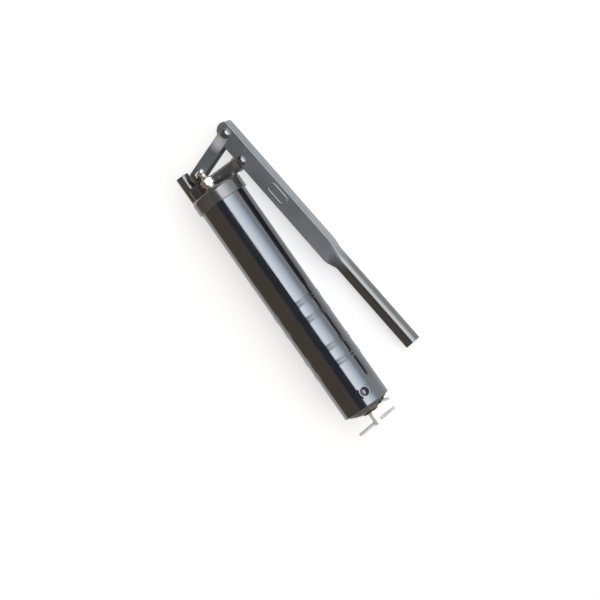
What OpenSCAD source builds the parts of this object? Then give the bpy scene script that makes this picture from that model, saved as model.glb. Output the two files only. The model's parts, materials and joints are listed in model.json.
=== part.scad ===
// Lever grease gun, lying on its side with the lever closed.
// Every sub-part is drawn upright in the gun's own frame: x runs along the barrel from the tail rim
// (x = 0) to the pump head, -y is the lever side, and z is square to the plane the lever swings in.
// lay() then sets the gun down, so that it rests on the skirt of the head and the tip of the grip.

/* [Barrel] */
// Outside diameter of the barrel
barrel_d = 57; // [52:0.5:62]
// Visible length, from the tail rim to the skirt of the head
barrel_len = 273; // [240:1:300]
// Wall thickness of the tube
barrel_wall = 1.3; // [1:0.1:1.6]
// Height of the raised grip beads
bead_h = 0.7; // [0.4:0.1:1]
// Diameter of the follower rod
rod_d = 9; // [8:0.5:9]
// Length of the cross handle at the end of the rod
handle_len = 52; // [40:1:60]
// How far the handle stands behind the tail rim
handle_out = 20.5; // [19:0.5:26]
// Angle by which the handle sits askew in its hole
handle_skew = 4.5; // [0:0.5:5]
// Tilt of the release latch
latch_tilt = 19.5; // [18:0.5:21]

/* [Pump head] */
// Outside diameter of the skirt
skirt_d = 61.2; // [60:0.2:64]
// Height of the skirt
skirt_h = 17; // [16:0.5:19]
// Rounding of the skirt's upper edge
skirt_round = 4.5; // [3:0.5:5]
// Diameter of the plunger
plunger_d = 8; // [7:0.5:8.5]
// Diameter of the cylinder that the plunger works in
cylinder_d = 15.4; // [15:0.2:16]
// Height of the plunger's centre line above the skirt's lower edge
plunger_h = 23.6; // [23.2:0.2:26]
// Diameter of the outlet boss
boss_d = 15.2; // [14.6:0.2:16]
// Height of the outlet boss above the skirt's lower edge
boss_h = 48.8; // [48.4:0.2:52]
// Diameter of the outlet bore, the core of its thread
outlet_d = 9; // [8.5:0.1:9.2]
// Depth of the outlet thread
outlet_depth = 11; // [10:0.5:11]

/* [Lever and link] */
// Width of the pressed channel
channel_w = 22.4; // [22:0.2:24]
// Depth of the channel's side plates
channel_deep = 20.4; // [20:0.2:21.4]
// Sheet thickness of the lever
lever_wall = 1.6; // [1.2:0.1:1.6]
// Whole length of the lever
lever_len = 316.7; // [280.7:1:330.7]
// Length of the rolled grip
grip_len = 113; // [90:1:125]
// Outside diameter of the rolled grip
grip_d = 18.6; // [17.6:0.2:20]
// Angle between the closed lever and the barrel
lever_angle = 6.45; // [6:0.05:7]
// Width of the link straps
strap_w = 13; // [12.5:0.5:14]
// Thickness of the link straps
strap_t = 2; // [1.6:0.1:2.4]
// Diameter of the pivot pins
pin_d = 6; // [5:0.5:6]
// Diameter of the domed pin heads
pin_head_d = 10.6; // [9.6:0.2:11]

/* [Hidden] */
$fn = 64;

// Clearances: running round a shaft, and beside a sliding face
run = 0.05;
gap = 0.2;
// Overshoot of a cutting tool
over = 1;

// Barrel
barrel_r = barrel_d / 2;
bore_r = barrel_r - barrel_wall;
thread_len = 9;
rim_t = 1.5;
rim_open_r = 25.5;
bead_r = 1.2;
bead_gap = 4;
bead_pairs = [57, 76, 113, 133];
stake_x = 15;
stake_r = 6;
stake_deep = 2.6;
stake_turn = 30;

// Tail end and release latch
rod_r = rod_d / 2;
sheet = 1.5;
cap_seat_r = bore_r - 0.1;
hub_r = 8.8;
hub_end = -8.2;
bush_r = 7;
seat_ring = [3.2, 9.3];
seat_disc = [8.6, 10.1];
seat_r = 25.3;
latch_t = 1.8;
latch_w = 10;
latch_axis_x = 1.9;
latch_pivot_l = -12.5;
latch_pivot_x = latch_axis_x - latch_pivot_l * tan(latch_tilt);
latch_hole_r = rod_r + 1.1;
latch_reach = 30.8;
latch_pin_r = 1.2;
latch_eye_r = 2.2;
ear_in = 6.2;
ear_out = 8;
latch_spring_l = 12;
latch_window = [11.5, 23.5];

// Follower
plate_x = 254;
plate_r = 24.5;
seal_r = bore_r - 0.3;
rod_end_x = 270;
spring_r = 20;
spring_wire = 2.2;
spring_turns = 16;

// Pump head: x of the skirt's lower edge, and what hangs on it
head_x = barrel_len;
skirt_r = skirt_d / 2;
top_in = 11.5;
gasket_t = top_in - thread_len;
cyl_x = head_x + plunger_h;
cyl_r = cylinder_d / 2;
cyl_end_l = 34.5;
plunger_r = plunger_d / 2;
plunger_in_l = -13.5;
packing_r = 6.5;
packing_l = 29.5;
gland_r = 8.7;
gland_end_l = 40;
boss_l = -23;
boss_r = boss_d / 2;
block_top = 30.5;
block_half = 10;
lug_half = 11;
lug_r = 6.5;
chamber_r = 3.6;
port_r = 1.8;
seat_h = 28;
ball_r = 2.6;
retainer_h = 36.2;
retainer_t = 1.5;
inlet_l = 9;
loader_l = 3.4;
loader_n = 20.7;
loader_base_h = 18.8;
loader_pad_r = 8;
nipple_r = 4.6;
loader_ball_r = 1.6;
loader_ball_h = 37.4;

// Pivots, as height above the skirt's lower edge and distance from the barrel's centre line
pivot_a = [38.5, -7];
pivot_b = [57.4, 48.6];
pivot_c = [plunger_h, 45.4];
pin_r = pin_d / 2;
pin_head_r = pin_head_d / 2;
pin_head_h = 2.8;
clip_t = 1;
clip_r = 4.8;
strap_in = channel_w / 2 + gap;
strap_out = strap_in + strap_t;
slot_l = pin_r + 0.7;
slot_x = pin_r + 2;
eye_l = 10;
eye_x = 16;
eye_w = 12;

// Lever, in its own frame: origin at pivot c, +x to the top, +y to the barrel
lever_b = [
    (pivot_b[0] - pivot_c[0]) * cos(lever_angle) - (pivot_b[1] - pivot_c[1]) * sin(lever_angle),
    -(pivot_b[0] - pivot_c[0]) * sin(lever_angle) - (pivot_b[1] - pivot_c[1]) * cos(lever_angle)
];
nose_r = 10;
nose = lever_b + [2.3, -2.2];
nose_slope = 20;
front_y = 3.9;
back_y = front_y - channel_deep;
tip_x = nose[0] + nose_r - lever_len;
grip_x = tip_x + grip_len;
blend_len = 15;
grip_y = -7.55;
grip_r = grip_d / 2;
seam = 3;
corner_r = 2;

// How the gun lies: the roll that lets the grip touch down, and its box centred on the origin
tip_l = pivot_c[1] - grip_y * cos(lever_angle) - tip_x * sin(lever_angle);
roll = asin((skirt_r - grip_r) / tip_l);
high_x = head_x + plunger_h + nose[0] * cos(lever_angle) - nose[1] * sin(lever_angle) + nose_r;
low_x = -handle_out - handle_len / 2 * sin(handle_skew) - 2;
low_y = -tip_l * cos(roll) - grip_r;
high_y = skirt_r;

module lay() {
    translate([-(high_x + low_x) / 2, -(high_y + low_y) / 2, skirt_r])
        rotate([roll, 0, 0])
            children();
}

// Turns a child's z axis along the barrel, towards the head
module along(x, l = 0, n = 0) {
    translate([x, -l, n])
        rotate([0, 90, 0])
            children();
}

// Turns a child's z axis across the gun, towards the lever
module across(x, l, n = 0) {
    translate([x, -l, n])
        rotate([90, 0, 0])
            children();
}

// Box between two values on each axis: along the barrel, towards the lever, and square to both
module block(x, l, n) {
    translate([x[0], -l[1], n[0]])
        cube([x[1] - x[0], l[1] - l[0], n[1] - n[0]]);
}

// Ring or tube from z = 0
module ring(r_out, r_in, h) {
    difference() {
        cylinder(r = r_out, h = h);
        translate([0, 0, -over])
            cylinder(r = r_in, h = h + 2 * over);
    }
}

// Round wire wound along z from 0 to h
module coil(r, wire, h, turns, sides = 6, steps = 16) {
    n = turns * steps;
    rise = h - wire;
    rings = [for (i = [0:n], j = [0:sides - 1])
        let (t = 360 * i / steps, s = 360 * j / sides, q = r + wire / 2 * cos(s))
        [q * cos(t), q * sin(t), wire / 2 + rise * i / n + wire / 2 * sin(s)]];
    skin = [for (i = [0:n - 1], j = [0:sides - 1])
        let (k = (j + 1) % sides, a = i * sides, b = a + sides)
        [[a + j, a + k, b + k], [a + j, b + k, b + j]]];
    first = [for (j = [sides - 1:-1:0]) j];
    last = [for (j = [0:sides - 1]) n * sides + j];
    polyhedron(points = rings, faces = concat([for (f = skin, g = f) g], [first, last]));
}

// Pin along z, centred, with a domed head at its upper end
module domed_pin(r, half, head_r, head_h) {
    dome_r = (head_r * head_r + head_h * head_h) / (2 * head_h);
    translate([0, 0, -half - clip_t - gap])
        cylinder(r = r, h = 2 * half + clip_t + gap);
    intersection() {
        translate([0, 0, half + head_h - dome_r])
            sphere(r = dome_r);
        translate([0, 0, half])
            cylinder(r = head_r, h = head_h);
    }
}

// Places a child at a pivot, with z along the pivot
module at_pivot(p) {
    translate([head_x + p[0], -p[1], 0])
        children();
}

module barrel_tube() {
    color("#1c1c20") lay() difference() {
        union() {
            along(0)
                cylinder(r = barrel_r, h = barrel_len + thread_len);
            for (p = bead_pairs, s = [-1, 1])
                along(p + s * bead_gap / 2)
                    rotate_extrude()
                        translate([barrel_r + bead_h - bead_r, 0])
                            circle(r = bead_r);
        }
        difference() {
            along(rim_t)
                cylinder(r = bore_r, h = barrel_len + thread_len);
            stake(stake_r + barrel_wall);
        }
        along(-over)
            cylinder(r = rim_open_r, h = rim_t + 2 * over);
        stake(stake_r);
    }
}

// Ball that presses the stake into the barrel wall
module stake(r) {
    rotate([stake_turn, 0, 0])
        translate([stake_x, 0, barrel_r + stake_r - stake_deep])
            sphere(r = r);
}

module tail_cap() {
    color("#3a2f2a") lay() difference() {
        along(0)
            rotate_extrude()
                polygon([[bush_r + run, hub_end], [hub_r, hub_end], [hub_r, -6.6], [14, -5.5],
                    [20, -3.1], [24.4, -0.6], [25.2, 1.6], [cap_seat_r, 1.6], [cap_seat_r, 3.1],
                    [23.8, 3.1], [23.1, 0.6], [19.2, -1.7], [13.6, -3.9], [bush_r + run, -5.2]]);
        block([hub_end, 0.5], latch_window, [-latch_w / 2 - 0.7, latch_w / 2 + 0.7]);
    }
}

module rod_guide_bush() {
    color("#b08d4a") lay() along(hub_end - 0.4)
        ring(bush_r, rod_r + run, 5.4);
}

module spring_seat() {
    color("#8b8f94") lay() difference() {
        union() {
            along(seat_ring[0])
                ring(cap_seat_r, seat_r, seat_ring[1] - seat_ring[0]);
            along(seat_disc[0])
                ring(seat_r + 0.3, rod_r + 1.5, seat_disc[1] - seat_disc[0]);
            for (s = [-1, 1])
                block([latch_pivot_x - 2.4, seat_disc[0] + 0.5],
                    [latch_pivot_l - 2.7, latch_pivot_l + 2.7],
                    [min(s * ear_in, s * ear_out), max(s * ear_in, s * ear_out)]);
        }
        translate([latch_pivot_x, -latch_pivot_l, -ear_out - over])
            cylinder(r = latch_pin_r, h = 2 * (ear_out + over));
    }
}

module latch_pivot_pin() {
    color("silver") lay()
        translate([latch_pivot_x, -latch_pivot_l, -ear_out - 0.5])
            cylinder(r = latch_pin_r, h = 2 * ear_out + 1);
}

module release_latch() {
    color("silver") lay()
        translate([latch_pivot_x, -latch_pivot_l, 0])
            rotate([0, 0, -latch_tilt])
                latch_blank();
}

// Latch lying flat along -y from its pivot
module latch_blank() {
    hole_y = latch_pivot_l / cos(latch_tilt);
    tip_y = -(latch_reach - latch_pivot_l) / cos(latch_tilt);
    difference() {
        union() {
            translate([-latch_t / 2, tip_y + latch_w / 2, -latch_w / 2])
                cube([latch_t, -tip_y - latch_w / 2, latch_w]);
            translate([-latch_t / 2, tip_y + latch_w / 2, 0])
                rotate([0, 90, 0])
                    cylinder(r = latch_w / 2, h = latch_t);
            translate([-latch_t / 2, hole_y, 0])
                rotate([0, 90, 0])
                    cylinder(r = latch_hole_r + 3.6, h = latch_t);
            translate([0, 0, -ear_in + 0.4])
                cylinder(r = latch_eye_r, h = 2 * (ear_in - 0.4));
        }
        translate([-latch_t, hole_y, 0])
            rotate([0, 90, 0])
                cylinder(r = latch_hole_r, h = 2 * latch_t);
        translate([0, 0, -ear_in])
            cylinder(r = latch_pin_r + run, h = 2 * ear_in);
    }
}

module latch_spring() {
    start = latch_axis_x - latch_spring_l * tan(latch_tilt) + 2.4;
    color("silver") lay() along(start, latch_spring_l)
        coil(2.6, 0.7, seat_disc[0] - start, 4, 6, 12);
}

module follower_rod() {
    color("gainsboro") lay() difference() {
        along(-handle_out - 3.2)
            cylinder(r = rod_r, h = rod_end_x + handle_out + 3.2);
        handle_bar(2.02);
    }
}

// Cross bar through the end of the rod
module handle_bar(r) {
    translate([-handle_out, 0, 0])
        rotate([0, 0, -handle_skew])
            rotate([90, 0, 0])
                cylinder(r = r, h = handle_len, center = true);
}

module cross_handle() {
    color("gainsboro") lay()
        handle_bar(2);
}

module follower_plate() {
    color("#8b8f94") lay() along(plate_x) {
        ring(plate_r, rod_r + 0.02, sheet);
        ring(rod_r + 4, rod_r + 0.02, 5);
    }
}

module follower_seal() {
    color("#26262a") lay() along(plate_x + sheet)
        rotate_extrude()
            polygon([[rod_r + 4.1, 0], [seal_r - 1.6, 0], [seal_r, 8], [seal_r - 2.2, 8],
                [seal_r - 5, 3], [rod_r + 4.1, 3]]);
}

module follower_nut() {
    color("silver") lay() along(plate_x + 5.1)
        difference() {
            cylinder(d = 17, h = 6, $fn = 6);
            translate([0, 0, -over])
                cylinder(r = rod_r + 0.02, h = 6 + 2 * over);
        }
}

module follower_spring() {
    color("#6f7378") lay() along(seat_disc[1])
        coil(spring_r, spring_wire, plate_x - seat_disc[1], spring_turns);
}

module pump_head() {
    color("#34363a") lay() difference() {
        union() {
            head_skirt();
            along(head_x, boss_l)
                cylinder(r = boss_r, h = boss_h);
            across(cyl_x, boss_l)
                cylinder(r = cyl_r, h = cyl_end_l - boss_l);
            block([head_x + skirt_h - over, head_x + block_top], [boss_l, 0],
                [-block_half, block_half]);
            block([head_x + skirt_h - over, head_x + pivot_a[0]],
                [pivot_a[1] - lug_r, pivot_a[1] + lug_r], [-lug_half, lug_half]);
            at_pivot(pivot_a)
                cylinder(r = lug_r, h = 2 * lug_half, center = true);
            along(head_x + top_in, loader_l, loader_n)
                cylinder(r = loader_pad_r, h = loader_base_h - top_in);
        }
        head_bores();
    }
}

// Skirt with a rounded upper edge, closed at the top
module head_skirt() {
    along(head_x)
        rotate_extrude() {
            square([skirt_r - skirt_round, skirt_h]);
            square([skirt_r, skirt_h - skirt_round]);
            translate([skirt_r - skirt_round, skirt_h - skirt_round])
                circle(r = skirt_round);
        }
}

module head_bores() {
    along(head_x - skirt_round - over)
        cylinder(r = barrel_r + run, h = thread_len + gasket_t + skirt_round + over);
    across(cyl_x, plunger_in_l)
        cylinder(r = plunger_r + run, h = cyl_end_l - plunger_in_l + over);
    across(cyl_x, packing_l)
        cylinder(r = packing_r, h = cyl_end_l - packing_l + over);
    across(cyl_x, boss_l)
        cylinder(r = port_r, h = plunger_in_l - boss_l + over);
    along(cyl_x, boss_l)
        cylinder(r = port_r, h = seat_h - plunger_h + over);
    along(head_x + seat_h, boss_l)
        cylinder(r = chamber_r, h = boss_h - seat_h);
    along(head_x + boss_h - outlet_depth, boss_l)
        cylinder(r = outlet_d / 2, h = outlet_depth + over);
    along(head_x + top_in - over, inlet_l)
        cylinder(r = 2.5, h = plunger_h - top_in);
    along(head_x + top_in - over, loader_l, loader_n)
        cylinder(r = 5, h = loader_base_h - top_in + 2 * over);
    at_pivot(pivot_a)
        cylinder(r = pin_r, h = 3 * lug_half, center = true);
}

module head_gasket() {
    color("#26262a") lay() along(head_x + thread_len + 0.05)
        ring(barrel_r - 0.1, barrel_r - 4, gasket_t - 0.1);
}

module gland_nut() {
    color("#5a5c60") lay() {
        across(cyl_x, cyl_end_l)
            ring(gland_r, plunger_r + run, gland_end_l - cyl_end_l);
        across(cyl_x, packing_l + 2.6)
            ring(packing_r - 0.05, plunger_r + run, cyl_end_l - packing_l - 2.5);
    }
}

module plunger_seal() {
    color("#26262a") lay() across(cyl_x, packing_l + 0.05)
        ring(packing_r - 0.05, plunger_r + run, 2.5);
}

module plunger() {
    color("silver") lay() difference() {
        union() {
            across(cyl_x, plunger_in_l + 0.3)
                cylinder(r = plunger_r, h = pivot_c[1] - plunger_in_l - 0.3);
            block([cyl_x - eye_x / 2, cyl_x + eye_x / 2],
                [pivot_c[1] - eye_l / 2, pivot_c[1] + eye_l / 2], [-eye_w / 2, eye_w / 2]);
        }
        block([cyl_x - slot_x, cyl_x + slot_x], [pivot_c[1] - slot_l, pivot_c[1] + slot_l],
            [-eye_w, eye_w]);
    }
}

// Flat strap between pivots a and b, from z = 0
module strap() {
    reach = pivot_b - pivot_a;
    span = norm(reach);
    translate([head_x + pivot_a[0], -pivot_a[1], 0])
        rotate([0, 0, atan2(-reach[1], reach[0])])
            difference() {
                union() {
                    for (x = [0, span])
                        translate([x, 0, 0])
                            cylinder(d = strap_w, h = strap_t);
                    translate([0, -strap_w / 2, 0])
                        cube([span, strap_w, strap_t]);
                }
                for (p = [[0, pin_r + run], [span, pin_r]])
                    translate([p[0], 0, -over])
                        cylinder(r = p[1], h = strap_t + 2 * over);
            }
}

module link_strap_near() {
    color("#3b3d42") lay()
        translate([0, 0, strap_in])
            strap();
}

module link_strap_far() {
    color("#3b3d42") lay()
        translate([0, 0, -strap_out])
            strap();
}

module link_head_pin() {
    color("#2c2d31") lay() at_pivot(pivot_a)
        domed_pin(pin_r, strap_out + gap, pin_head_r, pin_head_h);
}

module link_lever_pin() {
    color("#2c2d31") lay() at_pivot(pivot_b)
        domed_pin(pin_r, strap_out, pin_head_r, pin_head_h);
}

module plunger_pin() {
    color("#2c2d31") lay() at_pivot(pivot_c)
        domed_pin(pin_r, channel_w / 2, pin_head_r, pin_head_h);
}

// Retaining clip on the plain end of a pin that ends below z = -half
module clip(p, half) {
    at_pivot(p)
        translate([0, 0, -half - clip_t])
            ring(clip_r, pin_r, clip_t);
}

module link_head_clip() {
    color("silver") lay()
        clip(pivot_a, strap_out + gap);
}

module link_lever_clip() {
    color("silver") lay()
        clip(pivot_b, strap_out);
}

module plunger_pin_clip() {
    color("silver") lay()
        clip(pivot_c, channel_w / 2);
}

// Side outline of the channel: straight front edge, round nose past pivot b, sloping lower end
module channel_outline() {
    nose_front = nose + nose_r * [sin(nose_slope), cos(nose_slope)];
    shoulder_x = nose_front[0] - (front_y - nose_front[1]) / tan(nose_slope);
    difference() {
        union() {
            polygon([[grip_x, back_y], [nose[0], back_y], nose_front, [shoulder_x, front_y],
                [grip_x, front_y]]);
            translate(nose)
                circle(r = nose_r);
        }
        polygon([[grip_x - over, grip_y + grip_r - 2], [grip_x + 3, grip_y + grip_r - 1.5],
            [grip_x + blend_len - 3, front_y - 0.4], [grip_x + blend_len, front_y + over],
            [grip_x - over, front_y + over]]);
        translate([tip_x, back_y - 2 * nose_r])
            square([2 * lever_len, 2 * nose_r]);
    }
}

// Cross-section of the channel in y and z, with round corners at the back
module channel_section() {
    half = channel_w / 2;
    difference() {
        union() {
            translate([back_y + corner_r, -half])
                square([channel_deep, channel_w]);
            translate([back_y, corner_r - half])
                square([corner_r, channel_w - 2 * corner_r]);
            for (s = [-1, 1])
                translate([back_y + corner_r, s * (half - corner_r)])
                    circle(r = corner_r);
        }
        translate([back_y + lever_wall, lever_wall - half])
            square([channel_deep + corner_r, channel_w - 2 * lever_wall]);
    }
}

module lever() {
    color("#35373c") lay() at_pivot(pivot_c) rotate([0, 0, lever_angle]) difference() {
        union() {
            intersection() {
                translate([0, 0, -channel_w])
                    linear_extrude(2 * channel_w)
                        channel_outline();
                translate([grip_x - over, 0, 0])
                    rotate([90, 0, 90])
                        linear_extrude(nose[0] + nose_r - grip_x + 2 * over)
                            channel_section();
            }
            translate([tip_x, grip_y, 0])
                rotate([0, 90, 0])
                    cylinder(r = grip_r, h = grip_len + blend_len);
        }
        translate([tip_x - over, grip_y, 0])
            rotate([0, 90, 0])
                cylinder(r = grip_r - lever_wall, h = grip_len + blend_len + 2 * over);
        translate([tip_x - over, grip_y, -seam / 2])
            cube([grip_len + blend_len + 2 * over, channel_deep, seam]);
        cylinder(r = pin_r, h = 2 * channel_w, center = true);
        translate([lever_b[0], lever_b[1], 0])
            cylinder(r = pin_r + run, h = 2 * channel_w, center = true);
    }
}

module outlet_ball() {
    rise = sqrt(ball_r * ball_r - port_r * port_r);
    color("silver") lay() along(head_x + seat_h + rise + 0.02, boss_l)
        sphere(r = ball_r);
}

module outlet_spring() {
    start = seat_h + ball_r + 1.9;
    color("silver") lay() along(head_x + start + 0.3, boss_l)
        coil(2, 0.6, retainer_h - start - 0.35, 3, 6, 12);
}

module outlet_retainer() {
    color("#b08d4a") lay() along(head_x + retainer_h, boss_l)
        ring(chamber_r - 0.02, 1.4, retainer_t);
}

module loader_fitting() {
    color("whitesmoke") lay() along(head_x, loader_l, loader_n) difference() {
        union() {
            translate([0, 0, top_in])
                cylinder(r = 4.95, h = loader_base_h - top_in + over);
            translate([0, 0, loader_base_h])
                cylinder(r = 5.6, h = 3);
            translate([0, 0, loader_base_h + 2.6])
                cylinder(d = 16.1, h = 7.4, $fn = 6);
            rotate_extrude()
                polygon([[0, 28.8], [5.4, 28.8], [3.1, 32.5], [3.1, 35.4], [nipple_r, 37.6],
                    [nipple_r, 39.6], [3.4, 41], [0, 41]]);
        }
        translate([0, 0, top_in - over])
            cylinder(r = loader_ball_r + 0.1, h = loader_ball_h - top_in + over);
        translate([0, 0, loader_ball_h - over])
            cylinder(r = 1, h = 5);
        translate([0, 0, loader_ball_h])
            sphere(r = loader_ball_r + 0.1);
    }
}

module loader_ball() {
    color("silver") lay() along(head_x + loader_ball_h, loader_l, loader_n)
        sphere(r = loader_ball_r);
}

module loader_spring() {
    color("silver") lay() along(head_x + loader_ball_h - 10, loader_l, loader_n)
        coil(1.2, 0.4, 10 - loader_ball_r, 5, 6, 12);
}

barrel_tube();
tail_cap();
rod_guide_bush();
spring_seat();
latch_pivot_pin();
release_latch();
latch_spring();
follower_rod();
cross_handle();
follower_plate();
follower_seal();
follower_nut();
follower_spring();
pump_head();
head_gasket();
gland_nut();
plunger_seal();
plunger();
link_strap_near();
link_strap_far();
link_head_pin();
link_head_clip();
link_lever_pin();
link_lever_clip();
lever();
plunger_pin();
plunger_pin_clip();
outlet_ball();
outlet_spring();
outlet_retainer();
loader_fitting();
loader_ball();
loader_spring();
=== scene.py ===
"""Looks of the lever grease gun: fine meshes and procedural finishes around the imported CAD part.

Shapes are worked out in the gun's own axes, in mm: x along the barrel from the tail rim to the pump
head, l from the barrel's centre line towards the lever, and n square to the plane the lever swings in.
"""

import json
import math

import bmesh
import bpy
import numpy as np
from mathutils import Matrix, Vector

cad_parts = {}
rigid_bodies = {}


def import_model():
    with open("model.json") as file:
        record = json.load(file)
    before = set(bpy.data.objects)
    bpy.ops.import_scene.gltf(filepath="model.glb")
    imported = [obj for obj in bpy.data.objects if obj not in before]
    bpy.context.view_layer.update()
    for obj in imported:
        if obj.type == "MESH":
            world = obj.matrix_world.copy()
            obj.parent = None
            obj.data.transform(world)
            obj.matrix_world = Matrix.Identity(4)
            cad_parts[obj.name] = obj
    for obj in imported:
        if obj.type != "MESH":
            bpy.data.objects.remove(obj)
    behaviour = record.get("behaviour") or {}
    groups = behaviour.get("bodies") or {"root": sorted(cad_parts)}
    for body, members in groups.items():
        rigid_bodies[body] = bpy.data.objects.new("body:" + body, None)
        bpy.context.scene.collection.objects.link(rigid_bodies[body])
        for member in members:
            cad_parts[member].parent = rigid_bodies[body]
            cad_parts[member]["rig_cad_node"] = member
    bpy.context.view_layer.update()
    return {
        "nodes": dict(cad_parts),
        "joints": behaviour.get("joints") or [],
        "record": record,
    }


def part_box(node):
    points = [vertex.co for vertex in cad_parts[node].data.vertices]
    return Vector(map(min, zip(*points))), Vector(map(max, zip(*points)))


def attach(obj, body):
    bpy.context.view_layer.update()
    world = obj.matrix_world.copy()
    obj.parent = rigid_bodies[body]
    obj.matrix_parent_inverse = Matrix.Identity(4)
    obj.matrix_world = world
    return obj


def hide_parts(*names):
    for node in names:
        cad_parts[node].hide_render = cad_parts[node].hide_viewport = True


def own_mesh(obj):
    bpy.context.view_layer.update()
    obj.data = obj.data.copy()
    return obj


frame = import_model()

MM = 0.001
FINE = 0.5

# ---------------------------------------------------------------- the gun's axes, from the frame

joints = {j["name"]: j for j in frame["joints"]}
tube_low, tube_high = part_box("barrel_tube")
ORIGIN = np.array([tube_low.x, (tube_low.y + tube_high.y) / 2, (tube_low.z + tube_high.z) / 2])
AXES = np.array([[1.0, 0.0, 0.0], joints["plunger_slide"]["axis"], joints["lever_swing"]["axis"]])


def to_row(points):
    """Points in the gun's axes, in mm, as points of the row frame, in metres."""
    return np.asarray(points, float) * MM @ AXES + ORIGIN


def to_gun(points):
    return (np.asarray(points, float) - ORIGIN) @ AXES.T / MM


def span(node):
    """Lowest and highest corner of a CAD node, in the gun's axes."""
    points = to_gun([v.co for v in frame["nodes"][node].data.vertices])
    return points.min(0), points.max(0)


def middle(node):
    low, high = span(node)
    return (low + high) / 2


# ---------------------------------------------------------------- driving sizes, in mm

head_low, head_high = span("pump_head")
HEAD_X = head_low[0]
SKIRT_R = head_high[2]
SKIRT_H = 17.0
SKIRT_ROUND = 4.5
BARREL_R = 28.5
BARREL_WALL = 1.3
RIM_R = 25.5
RIM_T = 1.5
BEAD_PAIRS = (57.0, 76.0, 113.0, 133.0)
BEAD_GAP = 4.0
BEAD_H = 0.75
BEAD_W = 1.2
STAKE_X = 15.0
STAKE_TURN = math.radians(30)
STAKE_R = 5.3
STAKE_DEEP = 3.3
STAKE_SOFT = 0.25
LIP_H = 0.18
LIP_W = 1.4

PIVOT_A = to_gun(joints["link_swing"]["pos_m"])
PIVOT_B = to_gun(joints["lever_swing"]["pos_m"])
PIVOT_C = middle("plunger_pin")
PIVOT_C[2] = 0.0
PIN_R = 3.0
PIN_HEAD_R = 5.3
PIN_HEAD_H = 2.8
CLIP_R = 4.8
STRAP_W = 13.0
STRAP_T = 2.0
STRAP_EDGE = 0.45

LEVER_ANGLE = math.radians(6.45)
LEVER_HALF = 11.2
LEVER_FRONT = 3.9
LEVER_BACK = -16.5
LEVER_TIP = -271.17
LEVER_WALL = 1.6
NOSE_R = 10.0
NOSE_FROM_B = (2.3, -2.2)
NOSE_SLOPE = math.radians(20)
CORNER_R = 2.0
GRIP_X = -158.17
GRIP_Y = -7.55
GRIP_R = 9.3
SEAM = 3.0
ROLL_LEN = 38.0
ROLL_SPREAD = 21.0
END_ROUND = 0.3
EDGE_ROUND = 0.4
MARK = (-53.3, -6.0)
MARK_HALF = 8.5
MARK_R = 4.6
MARK_H = 0.55
PIP = (5.3, -9.4)
PIP_H = 0.6

BOSS_L = -23.0
BOSS_R = 7.6
BOSS_TOP = head_high[0]
OUTLET_R = 4.5
OUTLET_DEEP = 11.0
OUTLET_BORE_R = 3.6
BLOCK_TOP = HEAD_X + 30.5
BLOCK_HALF = 10.0
CYL_X = PIVOT_C[0]
CYL_R = 7.7
CYL_END = 34.5
PLUNGER_R = 4.0
BORE_R = 4.05
PACKING_R = 6.5
PACKING_FROM = 29.5
EYE_HALF = (8.0, 5.0, 6.0)
SLOT_HALF = (5.0, 3.7)
GLAND_R = 8.7
GLAND_END = 40.0
LUG_R = 6.5
LUG_HALF = 11.0
LOADER = (3.4, 20.7)
LOADER_BASE = HEAD_X + 18.8
LOADER_BORE_R = 5.0
PAD_R = 8.0
HEX_FLAT = 7.0

DOME_R = 47.0
DOME_X = 39.56
DOME_WALL = 1.5
DOME_EDGE = 24.6
BRIM_R = 25.3
HUB_R = 8.8
HUB_END = -8.2
BUSH_R = 7.0
ROD_R = 4.5
ROD_GAP = 0.05
HANDLE_X = -20.5
HANDLE_R = 2.0
HANDLE_LEN = 52.0
HANDLE_SKEW = math.radians(4.5)
LATCH_TILT = math.radians(19.5)
LATCH_T = 1.8
LATCH_W = 10.0
LATCH_PIVOT = to_gun(joints["latch_press"]["pos_m"])
LATCH_REACH = 30.8
LATCH_SLOT = (11.5, 23.5)
LATCH_SLOT_HALF = 5.7
CHEEK = (5.2, 7.0)
CHEEK_L = (13.8, 18.5)

# ---------------------------------------------------------------- outlines and mesh making


def unit(v):
    return v / np.linalg.norm(v)


def rounded(corners, steps=6, closed=True):
    """Outline through corners given as (x, y, radius), with an arc at each radius."""
    out = []
    count = len(corners)
    for i, (x, y, r) in enumerate(corners):
        p = np.array([x, y], float)
        if not r or (not closed and i in (0, count - 1)):
            out.append(p)
            continue
        a = np.array(corners[i - 1][:2]) - p
        b = np.array(corners[(i + 1) % count][:2]) - p
        a, b = unit(a), unit(b)
        half = math.acos(max(-1.0, min(1.0, float(a @ b)))) / 2
        centre = p + unit(a + b) * r / math.sin(half)
        start, end = p + a * r / math.tan(half) - centre, p + b * r / math.tan(half) - centre
        first = math.atan2(start[1], start[0])
        turn = math.atan2(end[1], end[0]) - first
        turn = (turn + math.pi) % (2 * math.pi) - math.pi
        for k in range(steps + 1):
            t = first + turn * k / steps
            out.append(centre + r * np.array([math.cos(t), math.sin(t)]))
    return np.array(out)


def make(name, points, faces, node, body, finish, normals=None, sharp=40):
    """A piece from points in the gun's axes, riding on a body and standing for a CAD node."""
    mesh = bpy.data.meshes.new(name)
    mesh.from_pydata(to_row(points).tolist(), [], faces)
    work = bmesh.new()
    work.from_mesh(mesh)
    if normals is None:
        bmesh.ops.remove_doubles(work, verts=work.verts, dist=1e-7)
    bmesh.ops.recalc_face_normals(work, faces=work.faces)
    work.to_mesh(mesh)
    work.free()
    mesh.shade_smooth()
    if normals is None:
        mesh.set_sharp_from_angle(angle=math.radians(sharp))
    else:
        mesh.normals_split_custom_set_from_vertices((normals @ AXES).tolist())
    piece = bpy.data.objects.new(name, mesh)
    bpy.context.scene.collection.objects.link(piece)
    finish(piece)
    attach(piece, body)
    if node:
        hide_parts(node)
    return piece


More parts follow.
